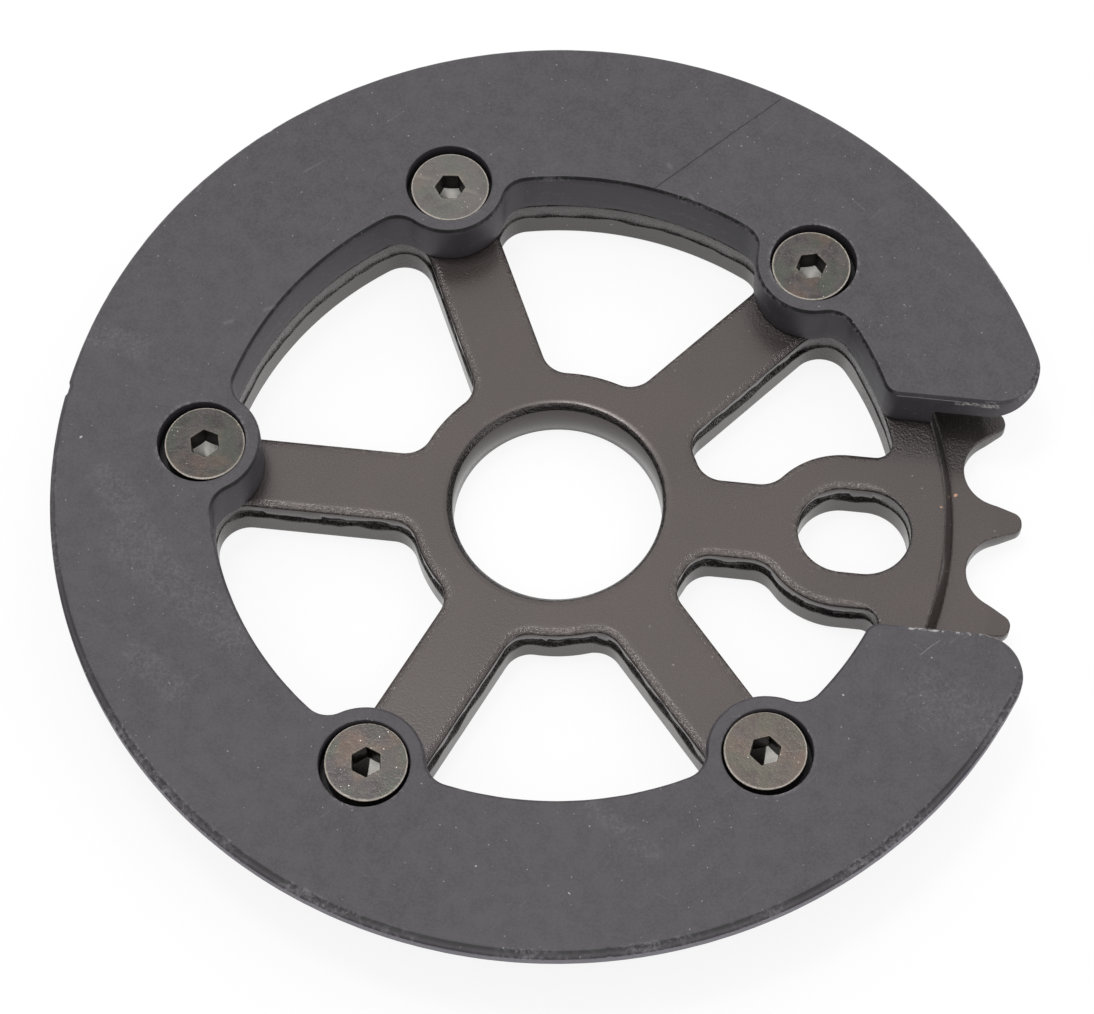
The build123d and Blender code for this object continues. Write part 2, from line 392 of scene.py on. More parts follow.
# %% Nodes as a formula
class Nodes:
    def __init__(self, tree, place=None):
        self.tree, self.place = tree, place

    def add(self, kind, inputs=None, **settings):
        """A node with its settings; each input is a plain value or another node's output."""
        made = self.tree.nodes.new(kind)
        for name, value in settings.items():
            setattr(made, name, value)
        for name, value in (inputs or {}).items():
            if isinstance(value, bpy.types.NodeSocket):
                self.tree.links.new(value, made.inputs[name])
            else:
                made.inputs[name].default_value = value
        return made

    def math(self, operation, a, b, clamp=False):
        """One operation on two values."""
        return self.add("ShaderNodeMath", {0: a, 1: b}, operation=operation, use_clamp=clamp).outputs[0]

    def times(self, product, *others):
        """The product of two or more values."""
        for value in others:
            product = self.math("MULTIPLY", product, value)
        return product

    def vector(self, operation, a, b=(0.0, 0.0, 0.0), out=0):
        """One operation on vectors; output 0 is a vector and output 1 a number."""
        return self.add("ShaderNodeVectorMath", {0: a, 1: b}, operation=operation).outputs[out]

    def scaled(self, vector, scale):
        """A vector times a number."""
        return self.add("ShaderNodeVectorMath", {0: vector, "Scale": scale}, operation="SCALE").outputs[0]

    def ramp(self, value, low, high, a=0.0, b=1.0):
        """Turns low..high into a..b, smoothly and without leaving that range."""
        inputs = {"Value": value, "From Min": low, "From Max": high, "To Min": a, "To Max": b}
        return self.add("ShaderNodeMapRange", inputs, interpolation_type="SMOOTHSTEP").outputs["Result"]

    def mix(self, factor, a, b):
        """A blend of two colours, which are a Mix node's sockets 6 and 7 and its output 2."""
        return self.add("ShaderNodeMix", {0: factor, 6: a, 7: b}, data_type="RGBA").outputs[2]

    def noise(self, scale, detail=3.0, rough=0.55, place=None):
        """Noise with so many waves to a metre, each octave finer and weaker by the roughness."""
        inputs = {"Vector": self.place if place is None else place, "Scale": scale, "Detail": detail,
                  "Roughness": rough}
        return self.add("ShaderNodeTexNoise", inputs).outputs["Fac"]

    def mask(self, which, **inputs):
        """The mask that a node group puts out."""
        return self.add("ShaderNodeGroup", {"Vector": self.place, **inputs}, node_tree=which).outputs["Mask"]

    def marks(self, lines, waver=0.2):
        """The strongest of several line marks, each (x, y, x, y, width) in millimetres."""
        total = None
        for x, y, x2, y2, width in lines:
            mark = self.mask(line_mark, Start=(x * MM, y * MM, 0.0), End=(x2 * MM, y2 * MM, 0.0),
                             Width=width * MM, Waver=waver)
            total = mark if total is None else self.math("MAXIMUM", total, mark)
        return total


# %% [markdown]
# A finish is a material in the making. It lays colours over one another from the bottom up, each by
# its mask, then joins the last one, the roughness and a relief to the shader. Its place is the
# piece's Object coordinates.

# %% A finish in the making
def rgb(hexcode):
    """A colour as the screen shows it, turned into linear light."""
    value = np.array([int(hexcode[k:k + 2], 16) for k in (0, 2, 4)]) / 255
    return (*np.where(value < 0.04045, value / 12.92, ((value + 0.055) / 1.055) ** 2.4), 1.0)


class Finish(Nodes):
    def __init__(self, name):
        self.material = bpy.data.materials.new(name)
        self.material.use_nodes = True
        super().__init__(self.material.node_tree)
        self.place = self.add("ShaderNodeTexCoord").outputs["Object"]
        self.shader = next(n for n in self.tree.nodes if n.type == "BSDF_PRINCIPLED").inputs

    def values(self):
        """The three values that the piece carries: edge, wall and dark."""
        return [self.add("ShaderNodeAttribute", attribute_name=n).outputs["Fac"]
                for n in ("edge", "wall", "dark")]

    def height(self):
        """Height above the middle of the teeth, in metres."""
        return self.add("ShaderNodeSeparateXYZ", {0: self.place}).outputs["Z"]

    def cloud(self, scale, detail, rough, a, b):
        """The lowest coat: two colours in soft clouds."""
        self.base = self.mix(self.ramp(self.noise(scale, detail, rough), 0.3, 0.7), rgb(a), rgb(b))

    def lay(self, cover, colour, share=1.0):
        """Lays a colour over the base by a share of the mask that covers it."""
        self.base = self.mix(self.times(cover, share), self.base, rgb(colour))

    def finish(self, roughness, relief, strength, depth):
        """Joins it all to the shader; the relief is a bump whose depth is in metres."""
        inputs = {"Height": relief, "Strength": strength, "Distance": depth}
        normal = self.add("ShaderNodeBump", inputs).outputs[0]
        for name, socket in (("Base Color", self.base), ("Roughness", roughness), ("Normal", normal)):
            self.tree.links.new(socket, self.shader[name])
        print("finish", self.material.name, "with", len(self.tree.nodes), "nodes")
        return self.material


# %% [markdown]
# ### Effects as node groups
# Dust, wear and scratches appear on more than one finish. Each is a node group with named inputs that
# puts out a mask, so that a finish only says how much of it shows and in which colour.

# %% Building a node group
def group(name, inputs, build):
    """A node group that puts out a mask. An input has a number as its default, or None for a vector."""
    tree = bpy.data.node_groups.new(name, "ShaderNodeTree")
    for label, default in {"Vector": None, **inputs}.items():
        kind = "NodeSocketVector" if default is None else "NodeSocketFloat"
        socket = tree.interface.new_socket(label, in_out="INPUT", socket_type=kind)
        if default is not None:
            socket.default_value = default
    tree.interface.new_socket("Mask", in_out="OUTPUT", socket_type="NodeSocketFloat")
    source, target = tree.nodes.new("NodeGroupInput").outputs, tree.nodes.new("NodeGroupOutput").inputs
    tree.links.new(build(Nodes(tree, source["Vector"]), source), target["Mask"])
    print("node group", name, "with", len(tree.nodes), "nodes and inputs", list(inputs))
    return tree


# %% [markdown]
# Dust is a scatter of cells: each cell of a Voronoi pattern has a random number and a distance from
# its centre. Only cells with a high number show, as a small round dot whose size varies.

# %% Dust specks
def build_specks(n, source):
    """1 where the way to a picked cell's centre is less than its own dot's size."""
    inputs = {"Vector": n.place, "Scale": source["Scale"], "Randomness": 1.0}
    cell = n.add("ShaderNodeTexVoronoi", inputs).outputs
    pick = n.add("ShaderNodeSeparateColor", {"Color": cell["Color"]}).outputs
    size = n.times(pick[1], source["Size"])
    dot = n.ramp(n.math("DIVIDE", cell["Distance"], size), 0.55, 1.0, 1.0, 0.0)
    return n.times(dot, n.math("GREATER_THAN", pick[0], source["Rarity"]))


specks = group("Specks", {"Scale": 400.0, "Size": 0.3, "Rarity": 0.9}, build_specks)

# %% [markdown]
# Wear starts on corners and breaks up. The edge value that each piece carries is multiplied with
# noise and cut off, so that only patches of the corner show.

# %% Worn edges
def build_wear(n, source):
    """The edge value times a fine and a coarse noise, each cut off softly."""
    rough, coarse = n.noise(1900.0, 4.0, 0.7), n.noise(110.0, 2.0, 0.5)
    patchy = n.times(n.ramp(rough, 0.42, 0.66), n.ramp(coarse, 0.4, 0.62), source["Edge"])
    return n.math("MULTIPLY", patchy, source["Amount"], True)


wear = group("Worn edges", {"Edge": 0.0, "Amount": 1.0}, build_wear)

# %% [markdown]
# A scratch with a known place is the area near a straight line from one point to another. The
# nearest point on the line is found by projection; the distance to it, a little disturbed by noise
# so that it wavers, gives a soft thin band.

# %% A line mark
def build_line(n, source):
    """1 where the way to the line's nearest point is less than the width."""
    flat = n.vector("MULTIPLY", n.place, (1.0, 1.0, 0.0))
    shake = n.add("ShaderNodeTexNoise", {"Vector": flat, "Scale": 900.0, "Detail": 2.0}).outputs["Color"]
    shake = n.vector("SUBTRACT", shake, (0.5, 0.5, 0.5))
    flat = n.vector("ADD", flat, n.scaled(shake, n.times(source["Waver"], MM)))
    span = n.vector("SUBTRACT", source["End"], source["Start"])
    away = n.vector("SUBTRACT", flat, source["Start"])
    share = n.math("DIVIDE", n.vector("DOT_PRODUCT", away, span, 1),
                   n.vector("DOT_PRODUCT", span, span, 1), True)
    gap = n.vector("DISTANCE", away, n.scaled(span, share), 1)
    return n.ramp(n.math("DIVIDE", gap, source["Width"]), 0.4, 1.0, 1.0, 0.0)


line_mark = group("Line mark", {"Start": None, "End": None, "Width": 0.0001, "Waver": 0.2}, build_line)

# %% [markdown]
# A scatter of hairline scratches comes from a cell pattern stretched along one direction: the borders
# of the long cells are thin lines of one width, and a noise keeps only short stretches of them.

# %% Fine scratches
def build_scratches(n, source):
    """Thin borders of cells twenty times as long as wide, kept where a noise is above the rarity."""
    turned = n.add("ShaderNodeMapping", {"Vector": n.place, "Rotation": source["Turn"]}).outputs[0]
    long = n.add("ShaderNodeMapping", {"Vector": turned, "Scale": (1.0, 0.05, 1.0)}).outputs[0]
    cells = n.add("ShaderNodeTexVoronoi", {"Vector": long, "Scale": 170.0}, feature="DISTANCE_TO_EDGE",
                  voronoi_dimensions="2D").outputs
    thin = n.ramp(cells["Distance"], 0.002, 0.008, 1.0, 0.0)
    return n.times(thin, n.ramp(n.noise(190.0, 2.0, place=turned), source["Rarity"],
                                n.math("ADD", source["Rarity"], 0.05)))


scratches = group("Fine scratches", {"Turn": None, "Rarity": 0.6}, build_scratches)

# %% [markdown]
# ### Painted alloy
# The sprocket has a black satin coat with a warm tint. Real powder coat is never flat: fine orange
# peel breaks up its reflections. Walls are glossier than the faces, and the ledge halfway down the
# walls is darkened near black, a painted shade. A few chips show orange-brown primer. A picture could
# carry all this, but noise and a few measured places stay sharp however near the camera comes.

# %% Painted alloy
BOLT_SPOTS = [(*polar(BOSS_AT, a), *polar(BOSS_AT + 0.1, a)) for a in ANGLES]
CHIPS = [(45.1, 6.7, 45.2, 6.8, 0.24), (43.4, 4.0, 43.5, 4.0, 0.12)]
PALE_CHIPS = [(52.1, -10.84, 52.5, -10.78, 0.1), (52.8, -10.75, 53.1, -10.7, 0.1)]


def make_alloy():
    """Lays paint, the seam's painted shade, dust, scratches, chips and wear, then a painted shade near
    the guard.
    """
    n = Finish("satin_black_alloy")
    edge, wall, dark = n.values()
    fine, lump, small = n.noise(6200.0, 2.0, 0.6), n.noise(2300.0, 2.0, 0.5), n.noise(3600.0, 2.0, 0.55)
    # The seam is the dark value broken up by lumps. Its near black is a painted shade in the walls' ledge, on
    # the bore's chamfer, on the rim's slope and under the guard.
    ragged = n.math("ADD", dark, n.times(n.math("SUBTRACT", lump, 0.5), 0.9))
    seam = n.times(n.ramp(ragged, 0.4, 0.55), n.ramp(dark, 0.05, 0.3))
    n.cloud(60.0, 3.0, 0.55, "2b2523", "322b28")
    n.lay(wall, "221e1d", 0.5)
    n.lay(seam, "050404", 0.95)
    n.lay(n.mask(specks, Scale=640.0, Size=0.085, Rarity=0.3), "b7aca2", 0.5)
    n.lay(n.mask(specks, Scale=1300.0, Size=0.085, Rarity=0.4), "b7aca2", 0.5)
    n.lay(n.mask(scratches, Turn=(0.0, 0.0, 0.9), Rarity=0.67), "a09488", 0.2)
    on_top = n.ramp(n.height(), 0.4 * MM, 0.6 * MM)
    n.lay(n.times(n.marks(CHIPS), on_top), "b98a6c")
    n.lay(n.times(n.marks(PALE_CHIPS, 0.4), on_top), "cbc7c4", 0.8)
    # Pale worn edges: partly wear, partly a painted highlight for the glints along the edges.
    n.lay(n.mask(wear, Edge=edge, Amount=0.3), "8d857e")
    # Near the guard the colour gets a painted shade, and the coat is duller and its relief rougher there.
    guard_shade = n.marks([*((*spot, 10.5) for spot in BOLT_SPOTS), (36.0, 15.5, 46.0, 15.5, 8.0)], 0.0)
    guard_shade = n.ramp(guard_shade, 0.0, 0.85)
    n.lay(guard_shade, "060505", 0.65)
    curl = n.times(n.ramp(wall, 0.0, 0.1), n.ramp(wall, 0.6, 0.95, 1.0, 0.0))
    gloss = n.ramp(fine, 0.3, 0.7, 0.24, 0.31)
    lumpy = n.ramp(lump, 0.5, 0.6, 0.06, -0.06)
    for value, share in ((wall, -0.08), (seam, lumpy), (guard_shade, 0.1), (curl, -0.08)):
        gloss = n.math("ADD", gloss, n.times(value, share))
    rough = n.math("MAXIMUM", n.math("MAXIMUM", n.times(guard_shade, 0.7), curl), seam)
    n.shader["Specular IOR Level"].default_value = 0.76
    n.shader["Specular Tint"].default_value = (1.0, 0.915, 0.9, 1.0)
    relief = n.math("ADD", small, n.times(fine, 0.5))
    return n.finish(gloss, relief, n.ramp(rough, 0.0, 1.0, 0.15, 1.0), 0.00008)


alloy = make_alloy()

# %% [markdown]
# ### Moulded nylon
# The guard is dull dark grey nylon with a slight blue cast. It carries fine mould grain, dust, cloudy
# handling marks and faint scratches, and one dark hairline that runs right across it. Its rim is
# scuffed paler all round, and a knock has rubbed the upper end pale just under its edge. Noise could
# scatter such marks anywhere; the larger ones have places read off the photo, so they look earned.

# %% Moulded nylon
HAZE = [(-47.0, -13.5, -33.0, -23.2, 3.6), (-43.5, -27.0, -38.5, -30.5, 2.4),
        (-50.5, -5.5, -43.5, -14.5, 2.6), (-56.0, 12.5, -49.5, 11.3, 2.2),
        (8.0, -39.0, 15.0, -43.5, 1.6), (43.0, -22.5, 49.5, -24.5, 4.5)]
WHITE_SPOTS = [(-54.12, -0.95, -54.02, -0.87, 0.17), (-3.4, -47.2, -3.35, -47.2, 0.11),
               (6.75, -49.1, 6.9, -49.2, 0.09), (33.95, -23.1, 34.0, -23.15, 0.12)]
FRAYED = [(40.6, GAP_LOW - 0.2, 50.5, GAP_LOW - 0.2, 0.34)]
KNOCK, BESIDE = [(44.2, GAP_TOP, 48.7, GAP_TOP, 0.5)], [(37.5, GAP_TOP, 44.0, GAP_TOP, 0.5)]
HAIRLINE = [(7.15, 38.63, 14.12, 45.71, 0.1), (14.12, 45.71, 20.63, 52.27, 0.09)]


def make_nylon():
    """Lays clouds, grain, painted shade, scratches, dust, haze, rubbed marks and the hairline."""
    n = Finish("dark_nylon")
    edge, wall, dark = n.values()
    height = n.height()

    def band(low, high, a=0.0, b=1.0):
        """Goes from a to b between two distances below the guard's top, in millimetres."""
        return n.ramp(height, (top_z - low) * MM, (top_z - high) * MM, a, b)

    grain = n.noise(3400.0, 3.0, 0.7)
    n.cloud(45.0, 4.0, 0.6, "363336", "3d3a3d")
    n.lay(n.ramp(n.noise(420.0, 3.0, 0.6), 0.38, 0.62, 0.0, 0.28), "4f4c50")
    n.lay(n.ramp(grain, 0.4, 0.6, 0.0, 0.5), "4f4d50")
    n.lay(wall, "474249", 0.5)
    # The dark value is painted shade: on the top edges, in the pockets, where the foot meets the sprocket and
    # under the flange.
    n.lay(dark, "070707", 0.95)
    n.lay(n.math("MAXIMUM", n.mask(scratches, Turn=(0.0, 0.0, 0.7), Rarity=0.62),
                 n.mask(scratches, Turn=(0.0, 0.0, 2.1), Rarity=0.65)), "a9a9b0", 0.07)
    n.lay(n.marks([(41.97, -17.48, 44.03, -15.45, 0.07)], 0.3), "a9a9b0", 0.25)
    n.lay(n.mask(specks, Scale=680.0, Size=0.09, Rarity=0.25), "b4afa8", 0.45)
    n.lay(n.mask(specks, Scale=1300.0, Size=0.1, Rarity=0.2), "b9b6b4", 0.6)
    # Rubbing has left a pale haze on the left and the lower end.
    n.lay(n.times(n.marks(HAZE, 1.2), n.ramp(n.noise(2600.0, 4.0, 0.75), 0.42, 0.66)), "918f94", 0.12)
    fray = n.times(n.marks(FRAYED, 0.3), n.ramp(n.noise(1700.0, 3.0, 0.7), 0.5, 0.6))
    n.lay(n.times(n.math("MAXIMUM", n.marks(WHITE_SPOTS), fray), band(0.5, 0.3)), "c9c6c4", 0.6)
    far = n.vector("LENGTH", n.vector("MULTIPLY", n.place, (1.0, 1.0, 0.0)), out=1)
    at_rim = n.ramp(far, (GUARD_R - 0.35) * MM, (GUARD_R - 0.12) * MM)
    n.lay(n.times(at_rim, n.ramp(wall, 0.85, 1.0)), "75727a", 0.85)
    knock = n.times(n.marks(KNOCK, 0.0), band(1.5, 1.1), band(0.7, 0.3, 1.0, 0.0), n.ramp(grain, 0.44, 0.58))
    beside = n.times(n.marks(BESIDE, 0.0), band(0.6, 0.5), band(0.42, 0.36, 0.6, 0.0))
    n.lay(n.math("MAXIMUM", knock, beside), "c4c1bd", 0.7)
    hair = n.marks(HAIRLINE, 0.25)
    n.lay(hair, "161617", 0.85)
    n.lay(n.mask(wear, Edge=edge, Amount=0.8), "8c898d")
    relief = n.math("ADD", n.times(grain, 0.5), n.noise(1100.0, 3.0))
    n.shader["Specular IOR Level"].default_value = 0.37
    relief = n.math("SUBTRACT", relief, n.times(hair, 1.5))
    return n.finish(n.ramp(grain, 0.3, 0.7, 0.5, 0.62), relief, 0.5, 0.00006)


nylon = make_nylon()

# %% [markdown]
# ### Blackened steel
# The bolts are steel with a thin black oxide that has gone green-brown in patches. They are metal, so
# their colour is that of their reflection. Worn corners show bare bright steel, and the pale line round
# each head's rim is partly that wear and partly a painted highlight. The socket's drilled floor has a
# painted highlight on one side and a painted shade on the other. Heads two and five are paler than the
# rest, and the third is darker. Each could have a material of its own, but a soft mark as wide as a
# head does it in one.

# %% Blackened steel
def make_steel():
    """Lays oxide patches, head tones, dust, scratches and pale rims, then the socket floors' painted
    highlight and painted shade.
    """
    n = Finish("black_oxide_steel")
    edge, wall, dark = n.values()
    patch = n.ramp(n.noise(480.0, 5.0, 0.7), 0.38, 0.62)
    grain = n.noise(5200.0, 2.0, 0.6)
    n.base = n.mix(patch, rgb("3f3c3c"), rgb("514d4c"))
    n.lay(n.ramp(n.noise(330.0), 0.45, 0.62), "484d45", 0.6)
    n.lay(n.ramp(n.noise(270.0), 0.5, 0.66), "5e5048", 0.6)
    n.lay(n.ramp(grain, 0.5, 0.72, 0.0, 0.35), "75706b")
    for k, colour, share in ((1, "8c8884", 0.2), (2, "2b2927", 0.25), (4, "8e7c6e", 0.12)):
        n.lay(n.ramp(n.marks([(*BOLT_SPOTS[k], 10.0)], 0.0), 0.02, 0.3), colour, share)
    n.lay(n.mask(specks, Scale=1500.0, Size=0.14, Rarity=0.4), "d6d0c6", 0.7)
    n.lay(n.mask(scratches, Turn=(0.0, 0.0, 1.4), Rarity=0.56), "a59e90", 0.1)
    n.lay(n.math("MAXIMUM", n.mask(wear, Edge=edge, Amount=1.2), n.times(edge, 0.25)), "a09888")
    # A pale line round each head's rim: partly worn bare steel, partly a painted highlight.
    rim_wear_and_highlight = n.times(n.ramp(edge, 0.75, 1.1), n.math("SUBTRACT", 1.0, dark))
    n.lay(n.times(rim_wear_and_highlight, n.ramp(grain, 0.3, 0.6, 0.4, 1.0)), "b4aca4")
    n.lay(wall, "252321")
    # The socket's drilled floor gets a painted highlight on the side that the edge value marks and a
    # painted shade on the other.
    n.base = n.mix(dark, n.base, n.mix(edge, rgb("2b2927"), rgb("f4f0ea")))
    # Under the rim line and the floor's painted highlight the steel is made less metallic.
    pale_rim_and_highlight = n.math("MAXIMUM", rim_wear_and_highlight, n.times(dark, edge))
    n.tree.links.new(n.ramp(pale_rim_and_highlight, 0.0, 1.0, 0.9, 0.1), n.shader["Metallic"])
    return n.finish(n.ramp(patch, 0.0, 1.0, 0.34, 0.46), n.math("ADD", patch, grain), 0.5, 0.00003)


steel = make_steel()

# %% [markdown]
# ## The sprocket
# First the cut-outs. Each wall starts with a soft painted corner, runs straight down, dips into a
# ragged groove halfway, where milling from both sides met, and ends in another soft corner. The
# groove's depth and height wander along the wall by the noise above. The groove and the corners near
# the guard are darkened: a painted shade.

# %% The sprocket's cut-outs
plate = Shell()
hole_tops, hole_backs = [], []
# Rows of the ledge, from its top down: height above the middle, share of the depth, painted shade. The
# rows of the slope below it follow, with their drop in place of the height.
LEDGE = ((1.0, 0.55, 0.0), (0.45, 0.9, 0.3), (0.25, 1.0, 1.0))
SLOPE = ((0.0, 1.0, 1.0), (0.25, 0.78, 1.0), (0.5, 0.52, 1.0), (0.75, 0.27, 1.0), (1.0, 0.04, 0.9),
         (1.2, 0.0, 0.35), (1.5, 0.0, 0.0))


def pierce(shell, loop, high, low, corner, groove, seed, tops, backs, roll=1.0, skirt=0.3):
    """Cuts a hole through a slab: loop has the hole on its left, roll is the soft corner's width."""
    loop = loop[::-1]
    out = normals(loop)
    along, whole = lengths(loop)
    t = along / whole * 2 * np.pi * (whole / 6)
    # Close to the guard the corner is tighter, the ledge calmer and the colour darker: a painted shade
    # of the guard.
    outermost = np.clip((np.hypot(*loop.T) - 35.5) / 2.5, 0, 1)
    calm, rolled, shade_here = 1 - 0.65 * outermost, roll * (1 - 0.7 * outermost), 0.8 * outermost
    rows = []

    def row(cut, z, **finish):
        """The outline, moved into the metal by the cut, at a height."""
        rows.append(shell.row(inset(loop, out, cut), z, **finish))

    def soft_corner(a):
        """Edge and wall values at an angle round the corner: wear is strongest at 60 degrees."""
        return {"edge": np.cos(a - radians(60)) ** 6, "wall": np.sin(a) ** 2}

    row(rolled + skirt, high)
    for a in SOFT:
        row(rolled * (1 - np.sin(a)), high - corner * (1 - np.cos(a)), dark=shade_here, **soft_corner(a))
    if groove > 0:
        middle = (high + low) / 2 + 0.5 + 0.3 * wave(t, seed + 1, 0.6, 3)
        tall = 0.1 + 0.5 * calm * np.clip(0.4 + 0.9 * wave(t, seed + 4, 0.45, 3), 0, 1)
        depth = groove * calm * np.clip(0.85 + 0.35 * wave(t, seed, 1.0, 4), 0.35, 1.15)
        lumps = 0.1 * wave(t, seed + 3, 5.0, 3)
        for up, share, shade in LEDGE:
            row(share * depth, middle + up * (tall + 0.1), wall=1.0, dark=np.maximum(shade, shade_here))
        for down, share, shade in SLOPE:
            bent = np.clip(share * depth + lumps * 4 * share * (1 - share), 0, None)
            row(bent, middle - 1.15 * depth * down, wall=1.0, dark=shade)
    chipped = np.clip(3 * wave(t, seed + 6, 1.2, 3) - 0.6, 0, 1) * (groove > 0)
    if groove > 0:
        row(0.0, low + corner + 0.28, wall=1.0)
        row(0.0, low + corner + 0.14, wall=1.0, dark=chipped)
    for a in SOFT[::-1]:
        row(roll * (1 - np.sin(a)), low + corner * (1 - np.cos(a)), dark=chipped * (a > 0.9),
            **soft_corner(a))
    row(roll + skirt, low)
    shell.strips(rows)
    tops.append(rows[0])
    backs.append(rows[-1])


for k, loop in enumerate(windows):
    pierce(plate, loop, front_z, back_z, 0.36, 0.5, 10 * k, hole_tops, hole_backs)
pierce(plate, slot(), front_z, back_z, 0.36, 0.5, 77, hole_tops, hole_backs)
for angle in ANGLES:
    pierce(plate, circle(*polar(BOLT_R, angle), TAPPED, 36), front_z, back_z, 0.12, 0.0, 5,
           hole_tops, hole_backs, 0.12, 0.1)
print("holes through the sprocket", len(hole_tops))

# %% [markdown]
# The bore is turned, so its wall is plain. Its flat chamfer is rough where the paint has crumbled, so
# the chamfer's rows are nudged by noise. A cylinder with a Bevel modifier would look freshly cut.
# Each row is a distance into the metal, a height and the three values of the finish.

# %% The bore
def bore(shell, tops, backs):
    """Each row is the bore's circle, widened by a distance, at a height."""
    loop = circle(0, 0, BORE, 260)[::-1]
    out = normals(loop)
    turn = np.linspace(0, 2 * np.pi, len(loop), endpoint=False)
    crumble = 0.05 * np.abs(wave(turn * 14, 3, 1.0, 4))
    wide = 0.62 - 0.26 * np.clip(loop[:, 0] / BORE, 0, 1)
    # The chamfer's rows carry a high dark value: a painted shade on the chamfer.
    path = [(1.2, front_z, 0.0, 0.0, 0.0), (wide + 0.06 + crumble, front_z, 0.3, 0.0, 0.0),
            (wide + crumble, front_z - 0.03, 0.6, 0.0, 0.9),
            (0.55 * wide + crumble, front_z - 0.45 * wide, 0.0, 0.0, 1.0),
            (0.05, front_z - wide, 0.2, 1.0, 0.9), (0.0, front_z - wide - 0.07, 0.0, 1.0, 0.0),
            (0.0, 0.0, 0.0, 1.0, 0.0), (0.0, back_z + 0.68, 0.0, 1.0, 0.0),
            (0.06, back_z + 0.58, 0.2, 1.0, 0.0), (0.6, back_z + 0.03, 0.5, 0.0, 0.0),
            (0.66, back_z, 0.0, 0.0, 0.0), (1.2, back_z, 0.0, 0.0, 0.0)]
    rows = [shell.row(inset(loop, out, cut), *finish) for cut, *finish in path]
    shell.strips(rows)
    tops.append(rows[0])
    backs.append(rows[-1])


bore(plate, hole_tops, hole_backs)
print("with the bore", len(hole_tops))

# %% [markdown]
# The rim runs from the flat face over a rounded shoulder, down a slope and through a small hollow to
# the tooth plate. That path is worked out once as a list of radius and height and turned round the
# axis. Corners are quadratic curves between the two straight parts that meet there. A Screw modifier
# could turn the path, but its last ring has to join the toothed outline point by point.

# %% The rim and the teeth
def rounded_path(points, reach, steps=5):
    """A path whose inner corners are replaced by quadratic curves that start a reach before them."""
    points = [np.array(p, float) for p in points]
    path = [points[0]]
    for before, corner, after in zip(points[:-2], points[1:-1], points[2:]):
        a = corner + (before - corner) / np.hypot(*(before - corner)) * reach
        b = corner + (after - corner) / np.hypot(*(after - corner)) * reach
        for t in np.linspace(0, 1, steps):
            path.append((1 - t) ** 2 * a + 2 * t * (1 - t) * corner + t ** 2 * b)
    return np.array(path + [points[-1]])


def rim(shell):
    """Turns the shoulder's path round the axis, then follows the teeth over the bevel to the back."""
    out = normals(teeth)
    corner = 0.22
    start = inset(teeth, out, corner)
    reach = np.hypot(*start.T)
    turn = start / reach[:, None]
    foot = RIM_OUT + SHOULDER_RUN
    corners = [(RIM_OUT - 0.8, front_z), (RIM_OUT, front_z), (foot, PLATE), (foot + 0.75, PLATE)]
    path = rounded_path(corners, 0.4)
    angle = np.arctan2(turn[:, 1], turn[:, 0])
    ripple = 0.012 * wave(angle * 30, 8, 1.0, 3)
    rings = [46.15, 47.6, 48.9, 50.0, 50.4, 50.6, 51.4, 52.2]

    def height(r):
        """The tooth plate's face: level, then down by the bevel's slope to the tips."""
        return PLATE - BEVEL_DROP * np.clip((r - (TIP_R - BEVEL_RUN)) / BEVEL_RUN, 0, 1)

    rows, flats = [], []
    for k, (r, z) in enumerate(path):
        on_slope = np.clip((front_z - z) / 0.4, 0, 1) * np.clip((z - PLATE) / 0.4, 0, 1)
        z_row = np.where(k > 1, z - ripple * on_slope, z)
        # The slope is darkened a little: a painted shade.
        rows.append(shell.row(turn * r, z_row, edge=0.5 * (2 <= k <= 4), wall=on_slope, dark=0.35 * on_slope))
    for k, r in enumerate(rings):
        r_row = np.minimum(r, reach - 0.03 * (len(rings) - k))
        flats.append((turn * r_row[:, None], height(r_row)))
    rows += [shell.row(xy, z) for xy, z in flats]
    for side, turns in ((1, ROUND), (-1, ROUND[::-1])):
        for a in turns:
            xy = inset(teeth, out, corner * (1 - np.sin(a)))
            z = side * (height(np.hypot(*xy.T)) - corner * (1 - np.cos(a)))
            rows.append(shell.row(xy, z, edge=np.cos(a - radians(45)) ** 6, wall=np.sin(a)))
    # The back is plain, so it takes only some of the rows, with the shoulder's heights turned over.
    rows += [shell.row(xy, -z) for xy, z in (flats[-1], flats[-3], flats[4], flats[0])]
    for r, z in path[[11, 8, 6, 3, 1, 0]]:
        rows.append(shell.row(turn * r, (z - PLATE) / (front_z - PLATE) * (back_z + PLATE) - PLATE))
    shell.strips(rows)
    return rows[0], rows[-1]


rim_top, rim_back = rim(plate)
plate.fill([rim_top, *hole_tops])
plate.fill([rim_back, *hole_backs], up=False)
sprocket = plate.mesh("sprocket_painted", alloy)
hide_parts("sprocket")
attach(sprocket, "root")

# %% [markdown]
# ## The guard
# Its outline has a long round outside, two straight ends and an inside that bulges round each bolt.
# Where the bulges join the inside, the corners are hollow, so their centres lie outside the plastic.
# A curve object could draw it, but here the radii stay those of the mould.

